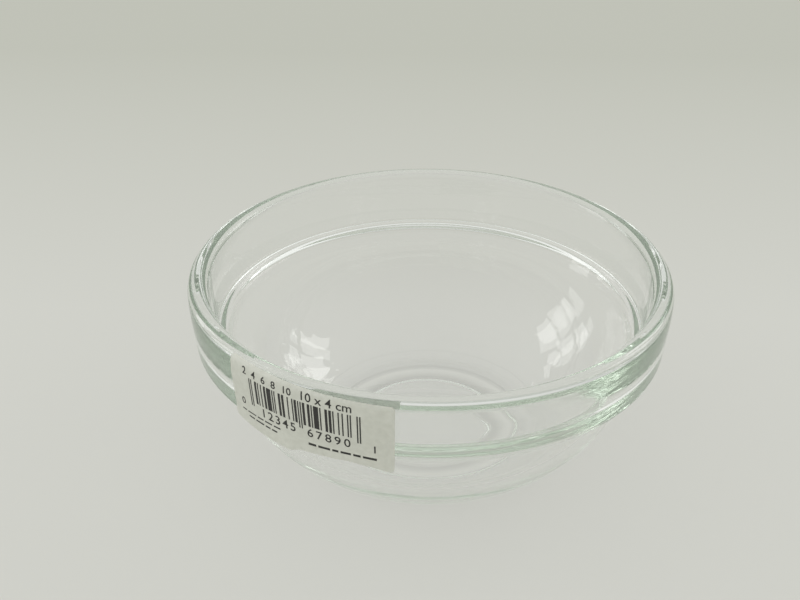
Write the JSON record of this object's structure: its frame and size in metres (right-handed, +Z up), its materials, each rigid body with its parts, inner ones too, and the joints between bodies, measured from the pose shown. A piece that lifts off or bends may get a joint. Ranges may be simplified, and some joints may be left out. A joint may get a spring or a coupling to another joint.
{
  "type": "prep bowl",
  "caption": "Small stacking prep bowl of clear pressed glass, with a straight collar over a rounded body, a ring foot and a printed size label.",
  "frame": {"origin": "centre of the foot ring, on the surface that the bowl stands on", "axes": "+Z up along the bowl's axis of revolution; -Y is the front, with the label just left of it towards -X"},
  "size_m": [0.1, 0.1, 0.0415],
  "materials": {
    "clear_glass": "clear pressed soda-lime glass with a faint green tint where it is thick, fire-polished",
    "label_film": "thin translucent off-white adhesive film with black print, satin"
  },
  "bodies": {
    "root": {"glass_bowl": "clear_glass", "label": "label_film"}
  },
  "joints": []
}
